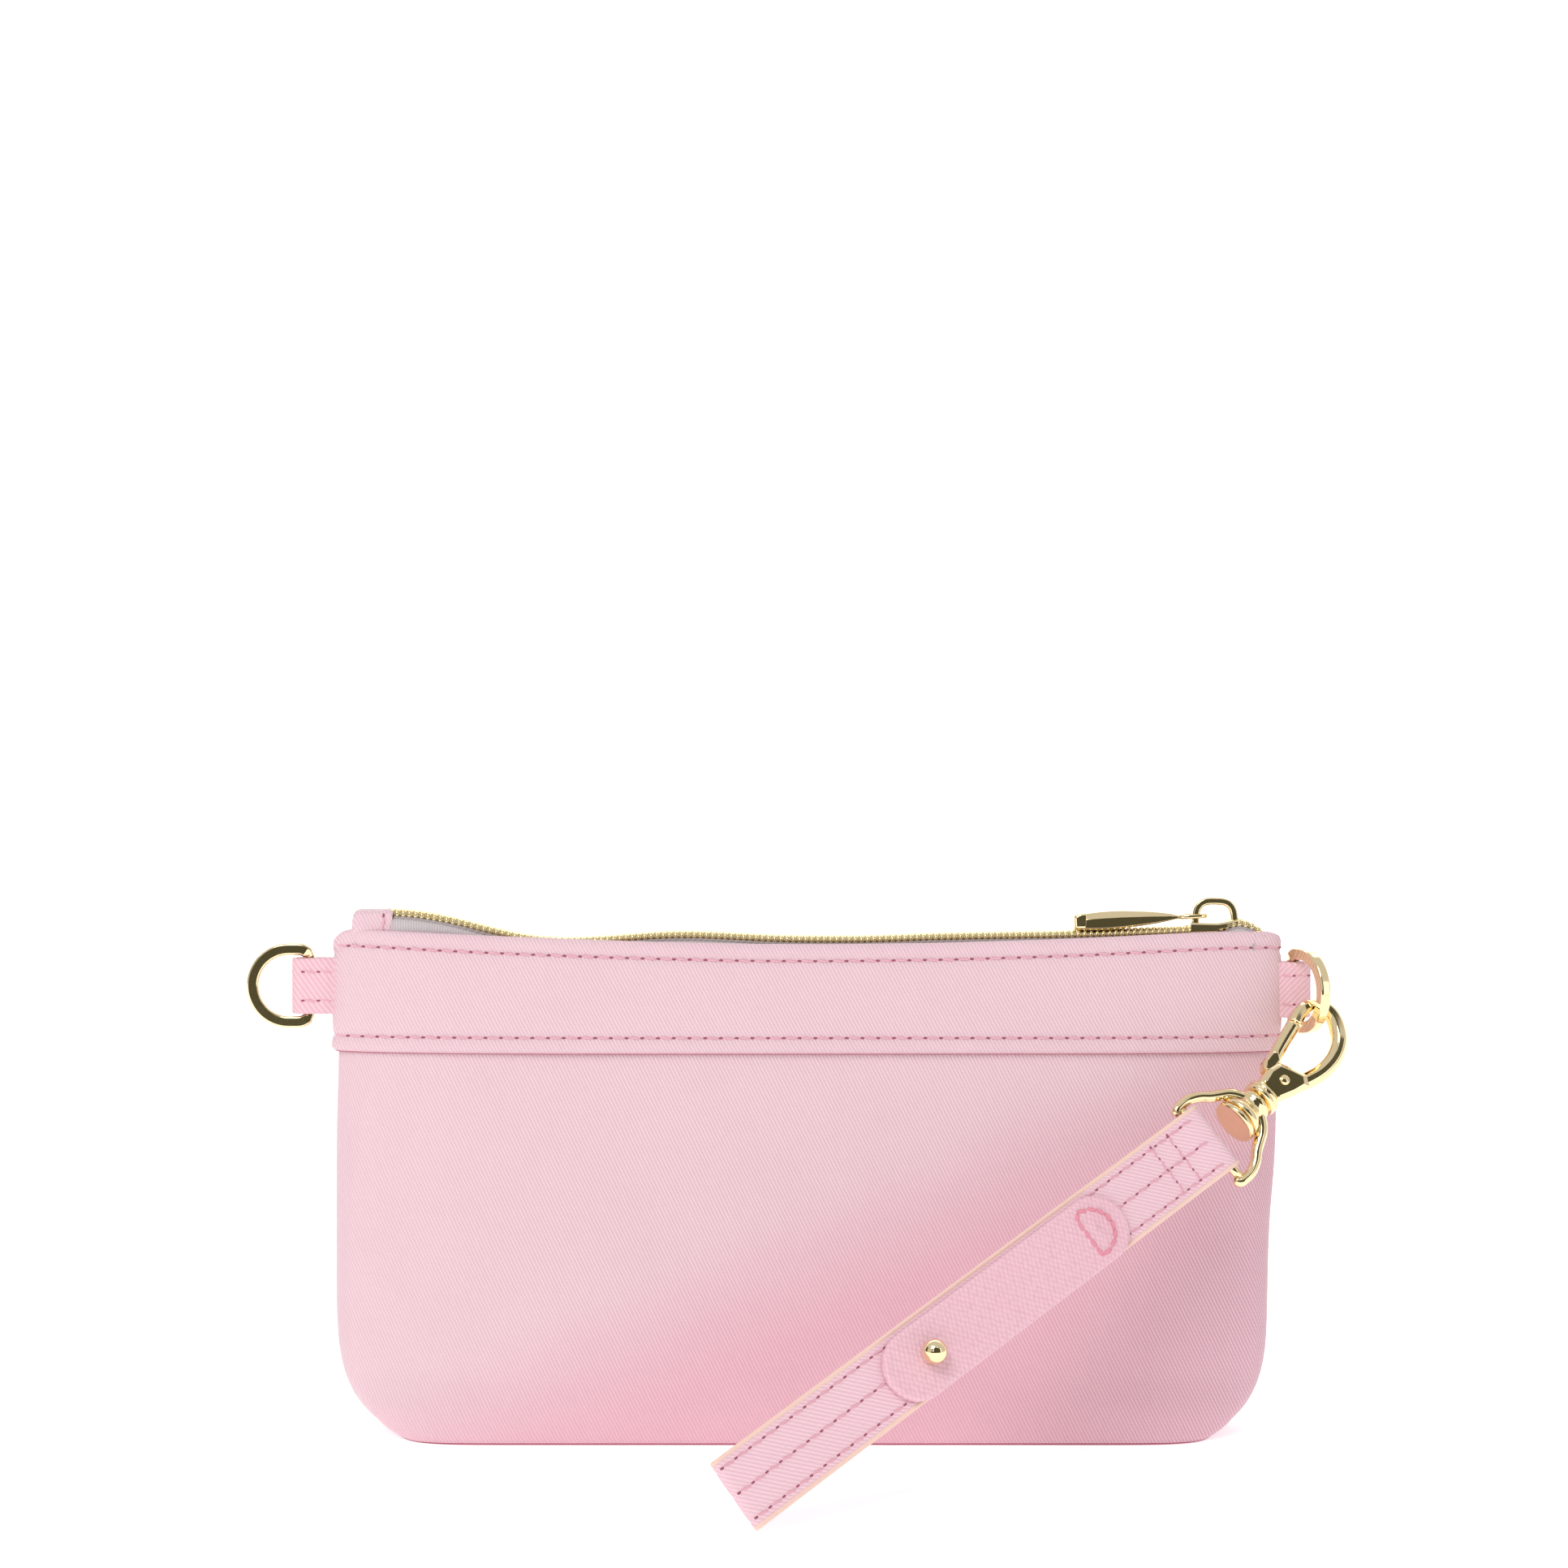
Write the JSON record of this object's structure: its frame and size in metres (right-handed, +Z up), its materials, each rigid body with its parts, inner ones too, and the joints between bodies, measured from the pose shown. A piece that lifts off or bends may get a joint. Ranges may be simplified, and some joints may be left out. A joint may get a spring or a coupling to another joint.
{
  "type": "wristlet wallet",
  "caption": "Small zipped pouch in pink twill with a header band, side D-rings, a swivel clasp and a doubled wrist strap with a snap tab.",
  "frame": {"origin": "centre of the flat base, on the table", "axes": "+X to the right along the pouch, +Y to its back, +Z up to the zip"},
  "size_m": [0.2511, 0.103, 0.1216],
  "materials": {
    "pink_twill": "coated diagonal twill, soft sheen",
    "lining_cloth": "plain matte cloth",
    "zip_tape": "silvery woven tape",
    "gold_coil": "metallised gold coil",
    "edge_paint": "satin peach edge paint",
    "pink_leather": "pebble grain, satin",
    "gold_metal": "polished pale gold plate",
    "spring_steel": "plain drawn wire"
  },
  "bodies": {
    "pouch": {"front_panel": "pink_twill", "back_panel": "pink_twill", "base_panel": "pink_twill", "front_band": "pink_twill", "back_band": "pink_twill", "lining_front": "lining_cloth", "lining_back": "lining_cloth", "inner_pocket": "lining_cloth", "zip_tape_front": "zip_tape", "zip_tape_back": "zip_tape", "zip_coil_front": "gold_coil", "zip_coil_back": "gold_coil", "zip_end_tab": "pink_twill", "side_tab_left": "pink_twill", "side_tab_right": "pink_twill"},
    "left_ring": {"d_ring_left": "gold_metal"},
    "right_ring": {"d_ring_right": "gold_metal"},
    "hook": {"clasp_hook": "gold_metal", "swivel_post": "gold_metal", "swivel_collar": "gold_metal", "gate_pin": "gold_metal", "gate_spring": "spring_steel"},
    "gate": {"clasp_gate": "gold_metal"},
    "swivel_base": {"clasp_base": "gold_metal"},
    "strap": {"strap_face": "pink_twill", "strap_backing": "lining_cloth", "strap_edge_upper": "edge_paint", "strap_edge_lower": "edge_paint", "keeper_anchor": "pink_leather", "stud_ball": "gold_metal", "stud_base": "gold_metal"},
    "keeper": {"keeper_tab": "pink_leather"},
    "slider": {"slider_body": "gold_metal", "slider_bridge": "gold_metal"},
    "pull": {"zip_pull": "gold_metal"}
  },
  "joints": [
    {"name": "left_ring_swing", "type": "hinge", "parent": "pouch", "child": "left_ring", "pos_m": [-0.1141, 0, 0.1021], "axis": [0, 0, 1], "range_deg": [-115, 115]},
    {"name": "right_ring_swing", "type": "hinge", "parent": "pouch", "child": "right_ring", "pos_m": [0.1116, 0, 0.1012], "axis": [0, 0, 1], "range_deg": [0, 150]},
    {"name": "hook_swing", "type": "hinge", "parent": "right_ring", "child": "hook", "pos_m": [0.1155, -0.01016, 0.09511], "axis": [0.2282, -0.8873, 0.4007], "range_deg": [-30, 0]},
    {"name": "gate_press", "type": "hinge", "parent": "hook", "child": "gate", "pos_m": [0.10544, -0.01872, 0.08163], "axis": [-0.2282, 0.8873, -0.4007], "range_deg": [0, 25], "stiffness_Nm_per_rad": 0.02},
    {"name": "swivel_turn", "type": "hinge", "parent": "hook", "child": "swivel_base", "pos_m": [0.09776, -0.02302, 0.07646], "axis": [0.7274, 0.4289, 0.5356], "range_deg": [-45, 45]},
    {"name": "strap_hinge", "type": "hinge", "parent": "swivel_base", "child": "strap", "pos_m": [0.0883, -0.0286, 0.0695], "axis": [-0.6471, 0.1693, 0.7433], "range_deg": [0, 80]},
    {"name": "keeper_lift", "type": "hinge", "parent": "strap", "child": "keeper", "pos_m": [0.05788, -0.04757, 0.05156], "axis": [-0.5881, 0.2024, 0.7831], "range_deg": [0, 90]},
    {"name": "zip_slide", "type": "slide", "parent": "pouch", "child": "slider", "axis": [-0.9998, 0, 0.0203], "range_m": [0, 0.182]},
    {"name": "pull_lift", "type": "hinge", "parent": "slider", "child": "pull", "pos_m": [0.09125, 0, 0.1182], "axis": [0, 1, 0], "range_deg": [0, 105]}
  ]
}
